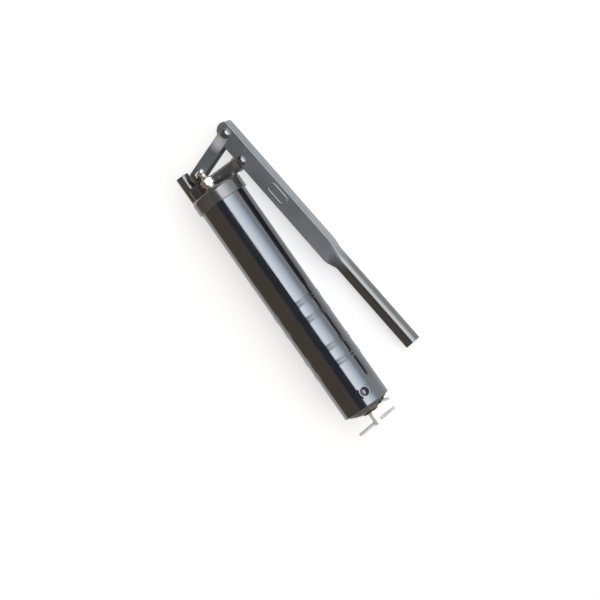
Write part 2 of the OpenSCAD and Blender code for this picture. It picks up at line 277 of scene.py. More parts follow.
def grid_faces(rows, columns, wrap_rows=False, wrap_columns=False):
    faces = []
    for i in range(rows if wrap_rows else rows - 1):
        for j in range(columns if wrap_columns else columns - 1):
            a, b = i * columns, (i + 1) % rows * columns
            k = (j + 1) % columns
            faces.append((a + j, a + k, b + k, b + j))
    return faces


def along(x, l=0.0, n=0.0):
    """Place whose z axis runs along the barrel."""
    return np.array([[0, 0, 1, x], [1, 0, 0, l], [0, 1, 0, n]], float)


def across(x, l):
    """Place whose z axis runs towards the lever."""
    return np.array([[1, 0, 0, x], [0, 0, 1, l], [0, 1, 0, 0]], float)


def square_to(x, l):
    """Place whose z axis is square to the lever's plane."""
    return np.array([[1, 0, 0, x], [0, 1, 0, l], [0, 0, 1, 0]], float)


def lathe(name, profile, place, node, body, finish, steps=160, shape=None, **options):
    """A closed profile of (distance, radius) turned round the place's z axis."""
    z, r = np.array(profile, float).T
    turn, z = np.meshgrid(np.linspace(0, 2 * math.pi, steps, endpoint=False), z, indexing="ij")
    r = np.broadcast_to(r, z.shape)
    if shape:
        r = shape(z, turn, r)
    points = np.stack([r * np.cos(turn), r * np.sin(turn), z], -1) @ place[:, :3].T + place[:, 3]
    faces = grid_faces(*z.shape, wrap_rows=True, wrap_columns=True)
    return make(name, points.reshape(-1, 3), faces, node, body, finish, **options)


# Fields: distance from a surface in mm, below zero inside


def join(a, b, fillet):
    h = np.clip(0.5 + (b - a) / (2 * fillet), 0, 1)
    return b * (1 - h) + a * h - fillet * h * (1 - h)


def cut(a, b, edge=0.5):
    """a with b taken out of it."""
    return -join(-a, b, edge)


def bar(p, axis, at, r, low, high, edge=0.0):
    """Round bar along an axis, from low to high, with rounded ends."""
    others = [i for i in range(3) if i != axis]
    side = np.hypot(p[..., others[0]] - at[0], p[..., others[1]] - at[1]) - (r - edge)
    end = np.abs(p[..., axis] - (low + high) / 2) - ((high - low) / 2 - edge)
    out = np.hypot(np.maximum(side, 0), np.maximum(end, 0))
    return np.minimum(np.maximum(side, end), 0) + out - edge


def slab(p, low, high, edge=0.0):
    """Box between two corners, with rounded edges."""
    low, high = np.array(low, float), np.array(high, float)
    q = np.abs(p - (low + high) / 2) - ((high - low) / 2 - edge)
    return np.minimum(q.max(-1), 0) + np.linalg.norm(np.maximum(q, 0), axis=-1) - edge


def gradient(field, points):
    step = 0.02
    slopes = []
    for axis in np.eye(3) * step:
        slopes.append((field(points + axis) - field(points - axis)) / (2 * step))
    return np.stack(slopes, -1)


def surface(field, low, high, cell):
    """Points, quads and normals where a field is zero, by surface nets with the points then moved
    onto the surface."""
    start = np.array(low, float) - 2.3 * cell
    axes = [np.arange(a, b + 2.5 * cell, cell) for a, b in zip(start, high)]
    value = field(np.stack(np.meshgrid(*axes, indexing="ij"), -1))
    inside = value < 0
    part = (slice(None, -1), slice(1, None))
    corners = [(i, j, k) for i in (0, 1) for j in (0, 1) for k in (0, 1)]
    filled = sum(inside[part[i], part[j], part[k]].astype(int) for i, j, k in corners)
    cells = np.argwhere((filled > 0) & (filled < 8))
    number = np.full(filled.shape, -1)
    number[tuple(cells.T)] = np.arange(len(cells))

    total, hits = np.zeros((len(cells), 3)), np.zeros(len(cells))
    for a in corners:
        for axis in range(3):
            if a[axis]:
                continue
            b = np.array(a) + np.eye(3, dtype=int)[axis]
            va, vb = value[tuple((cells + a).T)], value[tuple((cells + b).T)]
            crosses = (va < 0) != (vb < 0)
            t = np.where(crosses, va / np.where(crosses, va - vb, 1), 0)
            total += crosses[:, None] * (np.array(a) + t[:, None] * np.eye(3)[axis])
            hits += crosses
    points = start + (cells + total / hits[:, None]) * cell

    faces = []
    for axis in range(3):
        first, second = [i for i in range(3) if i != axis]
        edge_a = [slice(None)] * 3
        edge_b = [slice(None)] * 3
        edge_a[axis], edge_b[axis] = part
        at = np.argwhere(inside[tuple(edge_a)] != inside[tuple(edge_b)])
        ring = []
        for da, db in ((0, 0), (1, 0), (1, 1), (0, 1)):
            shift = np.zeros(3, int)
            shift[first], shift[second] = da, db
            ring.append(number[tuple((at - shift).T)])
        faces.append(np.stack(ring, -1))
    faces = np.concatenate(faces).tolist()

    for _ in range(4):
        slope = gradient(field, points)
        size = np.maximum((slope ** 2).sum(-1, keepdims=True), 0.3)
        points = points - np.clip(field(points)[:, None] * slope / size, -cell / 2, cell / 2)
    slope = gradient(field, points)
    return points, faces, slope / np.maximum(np.linalg.norm(slope, axis=-1, keepdims=True), 1e-9)


def carve(name, field, low, high, node, body, finish, cell=FINE):
    points, faces, normals = surface(field, low, high, cell)
    return make(name, points, faces, node, body, finish, normals=normals)


# ---------------------------------------------------------------- finishes


def feed(tree, socket, value):
    """Links a socket to another socket, or sets it to a number or colour."""
    if isinstance(value, bpy.types.NodeSocket):
        tree.links.new(value, socket)
    else:
        socket.default_value = value


def mixed(tree, factor, a, b):
    """Socket with a colour between a and b, which are colours or sockets."""
    node = tree.nodes.new("ShaderNodeMix")
    node.data_type = "RGBA"
    sockets = {s.identifier: s for s in node.inputs}
    for name, value in (("Factor_Float", factor), ("A_Color", a), ("B_Color", b)):
        feed(tree, sockets[name], value)
    return next(s for s in node.outputs if s.identifier == "Result_Color")


class Finish:
    """A procedural material on one Principled shader, and the record's slot it belongs to."""

    def __init__(self, slot, name=None, **sockets):
        self.slot = slot
        self.material = bpy.data.materials.new(name or slot)
        self.material.use_nodes = True
        self.tree = self.material.node_tree
        self.shader = self.tree.nodes["Principled BSDF"]
        for socket, value in sockets.items():
            self.shader.inputs[socket.replace("_", " ")].default_value = value
        self.place = self.tree.nodes.new("ShaderNodeTexCoord").outputs["Object"]

    def __call__(self, piece):
        piece.data.materials.clear()
        piece.data.materials.append(self.material)

    def node(self, kind, settings=(), **inputs):
        node = self.tree.nodes.new(kind)
        for key, value in dict(settings).items():
            setattr(node, key, value)
        for key, value in inputs.items():
            name = int(key[1:]) if key[1:].isdigit() else key.replace("_", " ")
            feed(self.tree, node.inputs[name], value)
        return node

    def noise(self, size_mm, detail=4, stretch=(1, 1, 1)):
        """Noise from 0 to 1 with features of about that size."""
        scale = tuple(1 / (size_mm * MM * s) for s in stretch)
        mapped = self.node("ShaderNodeMapping", Vector=self.place, Scale=scale)
        return self.node("ShaderNodeTexNoise", Vector=mapped.outputs[0], Scale=1.0, Detail=detail,
                         Roughness=0.55).outputs["Fac"]

    def ramp(self, value, low, high, to_low=0.0, to_high=1.0):
        return self.node("ShaderNodeMapRange", Value=value, From_Min=low, From_Max=high,
                         To_Min=to_low, To_Max=to_high).outputs[0]

    def times(self, a, b):
        return self.node("ShaderNodeMath", {"operation": "MULTIPLY"}, _0=a, _1=b).outputs[0]

    def mix(self, factor, a, b):
        return mixed(self.tree, factor, a, b)

    def set(self, socket, value):
        self.tree.links.new(value, self.shader.inputs[socket])

    def bump(self, heights):
        """Bumps stacked from (height, depth in mm) pairs."""
        normal = None
        for height, depth in heights:
            inputs = {"Height": height, "Distance": depth * MM, "Strength": 1.0}
            if normal is not None:
                inputs["Normal"] = normal
            normal = self.node("ShaderNodeBump", **inputs).outputs[0]
        self.set("Normal", normal)

    def edges(self):
        """1 on edges that stand out, where paint wears first, broken up by noise."""
        bare = self.ramp(self.node("ShaderNodeNewGeometry").outputs["Pointiness"], 0.52, 0.6)
        return self.times(bare, self.ramp(self.noise(2.5, 5), 0.42, 0.6))


def colour(r, g, b):
    return (r, g, b, 1.0)


def enamel(slot, shade, dusty, rough, peel, grain, worn, painted_highlight=None, grip_tone_span=None, **sockets):
    """Sprayed paint: shade and its dusty or faded variant, orange peel, and bare metal on edges. It can
    carry a painted highlight, a lighter patch within a distance, in mm, of a point in the gun's axes, and
    can turn lighter towards the tail and then darker and glossier, between and tailwards of two places
    along the gun."""
    f = Finish(slot, **sockets)
    patches = f.ramp(f.noise(28, 3), 0.35, 0.7)
    specks = f.ramp(f.noise(1.1, 6), 0.66, 0.74)
    base = f.mix(patches, shade, dusty)
    base = f.mix(f.times(specks, 0.35), base, colour(0.16, 0.15, 0.14))
    wear = f.times(f.edges(), worn)
    base = f.mix(wear, base, colour(0.30, 0.29, 0.28))
    matt = f.ramp(f.noise(9, 5, stretch=(4, 1, 1)), 0.3, 0.75, *rough)
    # Lighter towards the tail, then darker and glossier from the second place to the first and on towards
    # the tail
    if grip_tone_span:
        start, end = to_row([[x, 0, 0] for x in grip_tone_span])[:, 0]
        along_x = f.node("ShaderNodeSeparateXYZ", Vector=f.place).outputs["X"]
        base = f.mix(f.ramp(along_x, end, end + 110 * MM, 0.45, 0.0), base, colour(0.14, 0.15, 0.16))
        base = f.mix(f.ramp(along_x, start, end, 0.88, 0.0), base, colour(0.012, 0.010, 0.008))
        matt = f.times(matt, f.ramp(along_x, start, end, 0.42, 1.0))
    # Painted highlight: a lighter patch round a point, broken up by noise, not wear
    if painted_highlight:
        point, reach = painted_highlight
        away = f.node("ShaderNodeVectorMath", {"operation": "DISTANCE"}, _0=f.place,
                      _1=tuple(to_row(point))).outputs["Value"]
        highlight_falloff = f.ramp(away, 0.25 * reach * MM, reach * MM, 1.0, 0.0)
        broken = f.ramp(f.noise(6, 4), 0.2, 0.55, 0.7, 1.0)
        base = f.mix(f.times(highlight_falloff, broken), base, colour(0.34, 0.345, 0.355))
    f.set("Base Color", base)
    f.set("Roughness", matt)
    f.bump([(f.noise(2.2, 2), peel), (f.noise(0.6, 3), grain)])
    return f


def bare_metal(slot, shade, tint, rough, lines=0.004, stretch=(1, 1, 1), metallic=1.0):
    """Machined, plated or drawn metal with fine tool lines and a faint stain."""
    f = Finish(slot, Metallic=metallic)
    stain = f.ramp(f.noise(7, 5), 0.4, 0.72)
    base = f.mix(stain, shade, tint)
    base = f.mix(f.ramp(f.noise(1.4, 6), 0.62, 0.75, 0, 0.5), base, colour(0.12, 0.11, 0.10))
    f.set("Base Color", base)
    f.set("Roughness", f.ramp(f.noise(3, 5), 0.3, 0.7, *rough))
    f.bump([(f.noise(0.5, 3, stretch), lines)])
    return f


def soft_black(slot):
    """Matt rubber or fibre."""
    f = Finish(slot, Specular_IOR_Level=0.4)
    f.set("Base Color", f.mix(f.ramp(f.noise(5), 0.3, 0.7), colour(0.012, 0.012, 0.012),
                              colour(0.03, 0.029, 0.028)))
    f.set("Roughness", f.ramp(f.noise(2), 0.3, 0.7, 0.55, 0.8))
    f.bump([(f.noise(0.4, 3), 0.02)])
    return f


barrel_paint = enamel("barrel_paint", colour(0.008, 0.009, 0.012), colour(0.013, 0.013, 0.015),
                      (0.07, 0.16), 0.0015, 0.0004, 0.15, IOR=2.25, Specular_Tint=colour(0.87, 0.935, 1.0))
cap_paint = enamel("cap_paint", colour(0.026, 0.017, 0.012), colour(0.042, 0.029, 0.022),
                   (0.34, 0.5), 0.006, 0.003, 0.5, IOR=1.35)
head_paint = enamel("head_paint", colour(0.030, 0.031, 0.034), colour(0.050, 0.048, 0.046),
                    (0.15, 0.27), 0.005, 0.003, 0.5, IOR=2.05)
LEVER_SHADES = (colour(0.046, 0.056, 0.064), colour(0.078, 0.090, 0.100))
lever_paint = enamel("lever_paint", *LEVER_SHADES, (0.38, 0.50), 0.003, 0.0015, 0.4, IOR=2.15,
                     grip_tone_span=(132.0, 158.0))
# The strap gets a painted highlight near pivot b, where it catches the window's light
strap_paint = enamel("lever_paint", *LEVER_SHADES, (0.36, 0.46), 0.003, 0.0015, 0.4, IOR=2.1,
                     name="strap_paint", painted_highlight=((*(PIVOT_B[:2] * 0.80 + PIVOT_A[:2] * 0.20), 13.4), 13.0))
pin_steel = bare_metal("pin_steel", colour(0.27, 0.27, 0.28), colour(0.16, 0.15, 0.14), (0.2, 0.34))
gland_steel = bare_metal("gland_steel", colour(0.30, 0.30, 0.31), colour(0.18, 0.17, 0.16),
                         (0.28, 0.45))
bright_zinc = bare_metal("bright_zinc", colour(0.90, 0.91, 0.92), colour(0.78, 0.78, 0.76),
                         (0.34, 0.50), stretch=(6, 1, 1), metallic=0.55)
loader_chrome = bare_metal("loader_chrome", colour(0.62, 0.60, 0.56), colour(0.46, 0.43, 0.38),
                           (0.28, 0.44), 0.003)
plain_steel = bare_metal("plain_steel", colour(0.50, 0.50, 0.51), colour(0.36, 0.35, 0.34), (0.25, 0.4))
spring_steel = bare_metal("spring_steel", colour(0.30, 0.30, 0.31), colour(0.2, 0.18, 0.16), (0.3, 0.5))
brass = bare_metal("brass", colour(0.55, 0.40, 0.17), colour(0.35, 0.26, 0.13), (0.28, 0.45))
rubber = soft_black("rubber")
FINISHES = {f.slot: f for f in (barrel_paint, cap_paint, head_paint, lever_paint, pin_steel,
                                gland_steel, bright_zinc, loader_chrome, plain_steel, spring_steel,
                                brass, rubber)}

for part in frame["record"]["subparts"]:
    FINISHES[part["material_slot"]](frame["nodes"][part["node"]])

# ---------------------------------------------------------------- barrel


def barrel_profile():
    """Rolled tail rim, plain tube with pairs of raised beads, and the end inside the head."""
    outer = [np.array([x, BARREL_R]) for x in np.arange(3.0, 26.0, 0.4)]
    for pair in BEAD_PAIRS:
        for x in np.arange(pair - 5, pair + 5.01, 0.16):
            lift = sum(math.exp(-(((x - pair) - s * BEAD_GAP / 2) / BEAD_W) ** 2) for s in (-1, 1))
            outer.append(np.array([x, BARREL_R + BEAD_H * lift]))
    outer += [np.array([x, BARREL_R]) for x in np.arange(145, HEAD_X + 9, 8)]
    end = HEAD_X + 9.0
    rim = rounded([(3, BARREL_R, 0), (0, BARREL_R, 1.1), (0, RIM_R, 0.5), (RIM_T, RIM_R, 0.3),
                   (RIM_T, BARREL_R - BARREL_WALL, 0)], 8, closed=False)
    inner = [(end, BARREL_R), (end, BARREL_R - BARREL_WALL)]
    inner += [(x, BARREL_R - BARREL_WALL) for x in (200, 120, 60, 30)]
    inner += [(x, BARREL_R - BARREL_WALL) for x in np.arange(24, 3.5, -0.8)]
    return np.array(list(rim[:0:-1]) + [rim[0]] + outer[1:] + [np.array(p, float) for p in inner])


def stake_dent(z, turn, r):
    """Presses a round dent with a soft raised lip into the tube near its tail."""
    flank = (turn - (math.pi / 2 - STAKE_TURN) + math.pi) % (2 * math.pi) - math.pi
    away = np.hypot(z - STAKE_X, flank * BARREL_R)
    ball = np.sqrt(np.clip(STAKE_R ** 2 - away ** 2, 0, None)) - (STAKE_R - STAKE_DEEP)
    dent = STAKE_SOFT * np.logaddexp(0, np.where(away < STAKE_R, ball, -9) / STAKE_SOFT)
    edge = math.sqrt(STAKE_R ** 2 - (STAKE_R - STAKE_DEEP) ** 2)
    lip = LIP_H * np.exp(-((away - edge - 1.0) / LIP_W) ** 2)
    return r - dent + lip


lathe("barrel", barrel_profile(), along(0), "barrel_tube", "gun_body", barrel_paint,
      steps=300, shape=stake_dent)


# ---------------------------------------------------------------- tail end


def cap_field(p):
    """Domed cap with a brim, a hub for the rod, and a slot between two cheeks for the latch."""
    r = np.hypot(p[..., 1], p[..., 2])
    ball = np.hypot(p[..., 0] - DOME_X, r)
    dome = np.maximum(np.maximum(ball - DOME_R, DOME_R - DOME_WALL - ball), r - DOME_EDGE)
    dome = np.maximum(dome, p[..., 0] - 2)
    brim = bar(p, 0, (0, 0), BRIM_R, -0.7, 3.1, 0.5)
    brim = np.maximum(brim, BRIM_R - 1.6 - r)
    shell = join(dome, brim, 0.8)
    hub = bar(p, 0, (0, 0), HUB_R, HUB_END, -4.6, 0.7)
    shell = join(shell, hub, 1.6)
    shell = cut(shell, bar(p, 0, (0, 0), BUSH_R + ROD_GAP, -20, 10), 0.3)
    for side in (-1, 1):
        low, high = sorted((side * CHEEK[0], side * CHEEK[1]))
        cheek = slab(p, (-5.6, CHEEK_L[0], low), (0.5, CHEEK_L[1], high), 0.8)
        shell = join(shell, np.maximum(cheek, DOME_R - DOME_WALL - ball), 1.0)
    slot = slab(p, (-12, LATCH_SLOT[0], -LATCH_SLOT_HALF), (0.5, LATCH_SLOT[1], LATCH_SLOT_HALF), 1.0)
    return cut(shell, slot, 0.4)


carve("tail_dome", cap_field, (HUB_END, -25.4, -25.4), (3.2, 25.4, 25.4), "tail_cap", "gun_body",
      cap_paint, cell=0.8 * FINE)

lathe("rod_bush", rounded([(HUB_END - 0.4, ROD_R + ROD_GAP, 0.3), (HUB_END - 0.4, BUSH_R, 0.4),
                           (-3.2, BUSH_R, 0.3), (-3.2, ROD_R + ROD_GAP, 0.3)], 4),
      along(0), "rod_guide_bush", "gun_body", brass, steps=96)

lathe("pull_rod", rounded([(HANDLE_X - 3.2, 0, 0), (HANDLE_X - 3.2, ROD_R, 0.8),
                           (270, ROD_R, 0.8), (270, 0, 0)], 5),
      along(0), "follower_rod", "follower_assembly", bright_zinc, steps=96)


def handle_place():
    """Place of the cross handle, askew in its hole."""
    c, s = math.cos(HANDLE_SKEW), math.sin(HANDLE_SKEW)
    return np.array([[c, 0, s, HANDLE_X], [-s, 0, c, 0], [0, 1, 0, 0]], float)


half_bar = HANDLE_LEN / 2
lathe("cross_bar", rounded([(-half_bar, 0, 0), (-half_bar, HANDLE_R, 0.9), (half_bar, HANDLE_R, 0.9),
                            (half_bar, 0, 0)], 6),
      handle_place(), "cross_handle", "follower_assembly", bright_zinc, steps=48)


def latch_field(p):
    """Flat latch with a ring round the rod and a rounded tip, in its own axes from the pivot."""
    c, s = math.cos(LATCH_TILT), math.sin(LATCH_TILT)
    away = p[..., 0] - LATCH_PIVOT[0]
    out = p[..., 1] - LATCH_PIVOT[1]
    q = np.stack([away * c + out * s, out * c - away * s, p[..., 2]], -1)
    hole = -LATCH_PIVOT[1] / c
    tip = (LATCH_REACH - LATCH_PIVOT[1]) / c - LATCH_W / 2
    half = LATCH_T / 2
    strip = slab(q, (-half, 0, -LATCH_W / 2), (half, tip, LATCH_W / 2), 0.45)
    ring = bar(q, 0, (hole, 0), ROD_R + 4.7, -half, half, 0.45)
    end = bar(q, 0, (tip, 0), LATCH_W / 2, -half, half, 0.45)
    eye = bar(q, 2, (0, 0), 2.2, -5.8, 5.8, 0.3)
    plate = join(join(np.minimum(strip, end), ring, 0.6), eye, 0.6)
    plate = cut(plate, bar(q, 0, (hole, 0), ROD_R + 1.1, -9, 9), 0.5)
    return cut(plate, bar(q, 2, (0, 0), 1.25, -9, 9), 0.2)


latch_low, latch_high = span("release_latch")
carve("latch", latch_field, latch_low, latch_high, "release_latch", "latch", bright_zinc,
      cell=0.8 * FINE)

# ---------------------------------------------------------------- pump head


def head_field(p):
    """Casting: skirt, outlet boss, pump cylinder, lug and loader pad run together with fillets."""
    x, l, n = p[..., 0], p[..., 1], p[..., 2]
    r = np.hypot(l, n)
    top = HEAD_X + SKIRT_H
    side, end = r - (SKIRT_R - SKIRT_ROUND), x - (top - SKIRT_ROUND)
    skirt = np.minimum(np.maximum(side, end), 0) + np.hypot(np.maximum(side, 0), np.maximum(end, 0))
    skirt = -join(-(skirt - SKIRT_ROUND), x - HEAD_X, 0.9)
    boss = bar(p, 0, (BOSS_L, 0), BOSS_R, HEAD_X + 4, BOSS_TOP, 0.7)
    cylinder = bar(p, 1, (CYL_X, 0), CYL_R, BOSS_L, CYL_END, 0.7)
    block = slab(p, (top - 3, BOSS_L, -BLOCK_HALF), (BLOCK_TOP, 0, BLOCK_HALF), 1.5)
    lug = bar(p, 2, (PIVOT_A[0], PIVOT_A[1]), LUG_R, -LUG_HALF, LUG_HALF, 0.8)
    web = slab(p, (top - 3, PIVOT_A[1] - LUG_R, -LUG_HALF), (PIVOT_A[0], PIVOT_A[1] + LUG_R, LUG_HALF),
               0.8)
    pad = bar(p, 0, LOADER, PAD_R, top - 6, LOADER_BASE, 0.8)
    body = join(skirt, pad, 2.0)
    body = join(body, join(cylinder, block, 2.5), 3.0)
    body = join(body, np.minimum(lug, web), 2.0)
    body = join(body, boss, 2.5)
    body = cut(body, bar(p, 0, (0, 0), BARREL_R + 0.05, HEAD_X - 9, HEAD_X + 11.5), 0.5)
    body = cut(body, bar(p, 0, (BOSS_L, 0), OUTLET_R, BOSS_TOP - OUTLET_DEEP, BOSS_TOP + 9), 1.2)
    body = cut(body, bar(p, 0, (BOSS_L, 0), OUTLET_BORE_R, HEAD_X + 28, BOSS_TOP), 0.4)
    body = cut(body, bar(p, 1, (CYL_X, 0), BORE_R, -13.5, CYL_END + 9), 0.3)
    body = cut(body, bar(p, 1, (CYL_X, 0), PACKING_R, PACKING_FROM, CYL_END + 9), 0.3)
    body = cut(body, bar(p, 0, LOADER, LOADER_BORE_R, HEAD_X + 9, LOADER_BASE + 9), 0.3)
    return cut(body, bar(p, 2, (PIVOT_A[0], PIVOT_A[1]), PIN_R, -30, 30), 0.6)


head = carve("pump_casting", head_field, (HEAD_X, -31.0, -SKIRT_R), (BOSS_TOP, CYL_END, SKIRT_R),
             "pump_head", "gun_body", head_paint)

# Machined bare metal: the outlet's face and thread
head.data.materials.append(gland_steel.material)
for face in head.data.polygons:
    x, l, n = to_gun(face.center)
    if x > BOSS_TOP - OUTLET_DEEP - 1 and math.hypot(l - BOSS_L, n) < OUTLET_R + 1.1:
        face.material_index = 1

lathe("gland", rounded([(CYL_END, BORE_R, 0), (CYL_END, GLAND_R, 0.5), (GLAND_END, GLAND_R, 0.9),
                        (GLAND_END, BORE_R + 1.35, 0.4), (GLAND_END - 0.5, BORE_R, 0.2)], 5),
      across(CYL_X, 0), "gland_nut", "gun_body", gland_steel, steps=144)


def hexagon(z, turn, r):
    """Holds a turned profile to six flats over the length of the loader's hexagon."""
    flat = HEX_FLAT / np.cos((turn + math.pi / 6) % (math.pi / 3) - math.pi / 6)
    hex_part = (z > 21.35) & (z < 28.85) & (r > 5.7)
    return np.where(hex_part, np.minimum(r, flat), r)


LOADER_PROFILE = rounded(
    [(11.6, 1.7, 0), (11.6, 4.95, 0.3), (18.8, 4.95, 0), (18.8, 5.6, 0.2), (21.3, 5.6, 0),
     (21.4, 7.1, 0), (22.2, 8.05, 0), (28.0, 8.05, 0), (28.8, 7.1, 0), (28.9, 5.4, 0.2),
     (32.4, 3.1, 1.2), (35.4, 3.1, 1.6), (37.5, 4.6, 0.5), (39.5, 4.6, 0.5), (41.0, 3.4, 0.4),
     (41.0, 1.1, 0.2), (38.9, 1.1, 0), (38.9, 1.7, 0)], 5)
lathe("loader_nipple", LOADER_PROFILE, along(HEAD_X, *LOADER), "loader_fitting", "gun_body",
      loader_chrome, steps=144, shape=hexagon, sharp=28)

# ---------------------------------------------------------------- link, pins and plunger


STRAP_IN = LEVER_HALF + 0.2
STRAP_OUT = STRAP_IN + STRAP_T


def strap_field(side):
    """Flat strap from pivot a to pivot b, on one side of the lever, with holes for the pins."""
    a, b = PIVOT_A[:2], PIVOT_B[:2]
    reach = np.linalg.norm(b - a)
    run = (b - a) / reach
    low, high = sorted((side * STRAP_IN, side * STRAP_OUT))

    def field(p):
        out = p[..., :2] - a
        t = np.clip(out @ run, 0, reach)
        edge = np.linalg.norm(out - t[..., None] * run, axis=-1) - (STRAP_W / 2 - STRAP_EDGE)
        face = np.abs(p[..., 2] - (low + high) / 2) - (STRAP_T / 2 - STRAP_EDGE)
        skin = np.hypot(np.maximum(edge, 0), np.maximum(face, 0)) + np.minimum(np.maximum(edge, face), 0)
        skin = cut(skin - STRAP_EDGE, bar(p, 2, a, PIN_R + 0.05, -30, 30), 0.3)
        return cut(skin, bar(p, 2, b, PIN_R, -30, 30), 0.3)

    return field


for name, node, side in (("strap_near", "link_strap_near", 1), ("strap_far", "link_strap_far", -1)):
    low, high = span(node)
    carve(name, strap_field(side), low, high, node, "link", strap_paint, cell=0.8 * FINE)


def pin(name, node, body, pivot, half):
    """Pin with a domed head and a plain end that a clip holds."""
    ball = (PIN_HEAD_R ** 2 + PIN_HEAD_H ** 2) / (2 * PIN_HEAD_H)
    dome = []
    for t in np.linspace(0.0, 1.0, 16):
        r = (PIN_HEAD_R - 0.15) * (1 - t)
        dome.append((half + PIN_HEAD_H - ball + math.sqrt(ball ** 2 - r ** 2), r))
    profile = [(-half - 1.2, 0), (-half - 1.2, PIN_R - 0.4), (-half - 0.8, PIN_R), (half, PIN_R),
               (half, PIN_HEAD_R - 0.25), (half + 0.15, PIN_HEAD_R)]
    lathe(name, profile + dome, square_to(*pivot[:2]), node, body, pin_steel, steps=96)


def clip(name, node, body, pivot, half):
    """Flat retaining ring behind a pin's plain end."""
    lathe(name, rounded([(-half - 1, PIN_R, 0), (-half - 1, CLIP_R, 0.3), (-half, CLIP_R, 0.3),
                         (-half, PIN_R, 0)], 4),
          square_to(*pivot[:2]), node, body, bright_zinc, steps=72)


for stem, body, pivot, half in (("link_head", "gun_body", PIVOT_A, STRAP_OUT + 0.2),
                                ("link_lever", "link", PIVOT_B, STRAP_OUT),
                                ("plunger", "lever_arm", PIVOT_C, LEVER_HALF)):
    pin(stem + "_rivet", stem + "_pin", body, pivot, half)
    clip(stem + "_ring", stem + "_pin_clip" if stem == "plunger" else stem + "_clip", body, pivot, half)


def plunger_field(p):
    """Round rod with a block at its end, slotted for the lever's pin."""
    rod = bar(p, 1, (CYL_X, 0), PLUNGER_R, -13.2, PIVOT_C[1], 0.5)
    eye_x, eye_l, eye_n = EYE_HALF
    eye = slab(p, (CYL_X - eye_x, PIVOT_C[1] - eye_l, -eye_n), (CYL_X + eye_x, PIVOT_C[1] + eye_l, eye_n),
               1.2)
    slot_x, slot_l = SLOT_HALF
    slot = slab(p, (CYL_X - slot_x, PIVOT_C[1] - slot_l, -20), (CYL_X + slot_x, PIVOT_C[1] + slot_l, 20),
                1.0)
    return cut(join(rod, eye, 1.0), slot, 0.3)


plunger_low, plunger_high = span("plunger")
carve("plunger_eye", plunger_field, plunger_low, plunger_high, "plunger", "pump_plunger", plain_steel,
      cell=0.9 * FINE)

# ---------------------------------------------------------------- springs


def spring(name, node, joint, travel, fixed, wire, turns):
    """Round wire wound along the barrel."""
    low, high = span(node)
    centre = middle(node)
    radius = (high[2] - low[2] - wire) / 2
    sides, steps = 10, 32
    rise, round_wire = np.meshgrid(np.linspace(0, 1, turns * steps + 1),
                                   np.linspace(0, 2 * math.pi, sides, endpoint=False), indexing="ij")
    turn = 2 * math.pi * turns * rise
    out = radius + wire / 2 * np.cos(round_wire)
    x = low[0] + wire / 2 + (high[0] - low[0] - wire) * rise + wire / 2 * np.sin(round_wire)
    points = np.stack([x, centre[1] + out * np.cos(turn), centre[2] + out * np.sin(turn)], -1)
    rows = turns * steps + 1
    faces = grid_faces(rows, sides, wrap_columns=True)
    faces += [tuple(range(sides)), tuple(range((rows - 1) * sides, rows * sides))]
    piece = make(name, points.reshape(-1, 3), faces, node, "gun_body", spring_steel)
    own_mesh(piece)


# Piece, CAD node, joint, how far the joint shortens it, the end that stays put, wire and turns
SPRINGS = (("follower_coil", "follower_spring", "rod_slide", 190.0, "low", 2.2, 16),
           ("latch_coil", "latch_spring", "latch_press", 2.2, "high", 0.7, 4),
           ("outlet_coil", "outlet_spring", "check_ball_lift", 1.2, "high", 0.6, 3),
           ("loader_coil", "loader_spring", "filler_ball_lift", 1.2, "low", 0.4, 5))
for row in SPRINGS:
    spring(*row)

# ---------------------------------------------------------------- lever


def ease(t):
    t = np.clip(t, 0, 1)
    return t * t * (3 - 2 * t)


def channel_outline(count):
    """Open section of the channel in (y, z), from the near plate's edge round the web to the far
    plate's edge, and the unit normals that point out of it."""
    corner = CORNER_R
    plate, arc, web = LEVER_FRONT - LEVER_BACK - corner, math.pi / 2 * corner, 2 * (LEVER_HALF - corner)
    arc_y, arc_z = LEVER_BACK + corner, LEVER_HALF - corner
    ends = np.cumsum([plate, arc, web, arc, plate])
    points, normals = [], []
    for s in np.linspace(0, ends[-1], count):
        if s < ends[0]:
            points.append((LEVER_FRONT - s, LEVER_HALF))
            normals.append((0, 1))
        elif s < ends[1]:
            t = (s - ends[0]) / corner
            points.append((arc_y - corner * math.sin(t), arc_z + corner * math.cos(t)))
            normals.append((-math.sin(t), math.cos(t)))
        elif s < ends[2]:
            points.append((LEVER_BACK, arc_z - (s - ends[1])))
            normals.append((-1, 0))
        elif s < ends[3]:
            t = (s - ends[2]) / corner
            points.append((arc_y - corner * math.cos(t), -arc_z - corner * math.sin(t)))
            normals.append((-math.cos(t), -math.sin(t)))
        else:
            points.append((arc_y + (s - ends[3]), -LEVER_HALF))
            normals.append((0, -1))
    return np.array(points), np.array(normals)


def grip_outline(count):
    """Open section of the rolled grip, nearly a full circle, from seam edge to seam edge."""
    gap = SEAM / 2 / GRIP_R
    t = np.linspace(gap, 2 * math.pi - gap, count)
    normals = np.stack([np.cos(t), np.sin(t)], -1)
    return normals * GRIP_R + (GRIP_Y, 0), normals


def top_of(y, b):
    """How far the plates reach up at a depth y: a round nose past pivot b, with a sloping front."""
    nose_x, nose_y = b[0] + NOSE_FROM_B[0], b[1] + NOSE_FROM_B[1]
    rim_x, rim_y = nose_x + NOSE_R * math.sin(NOSE_SLOPE), nose_y + NOSE_R * math.cos(NOSE_SLOPE)
    arc = nose_x + np.sqrt(np.maximum(NOSE_R ** 2 - (y - nose_y) ** 2, 0))
    return np.where(y > rim_y, rim_x - (y - rim_y) / math.tan(NOSE_SLOPE), arc)


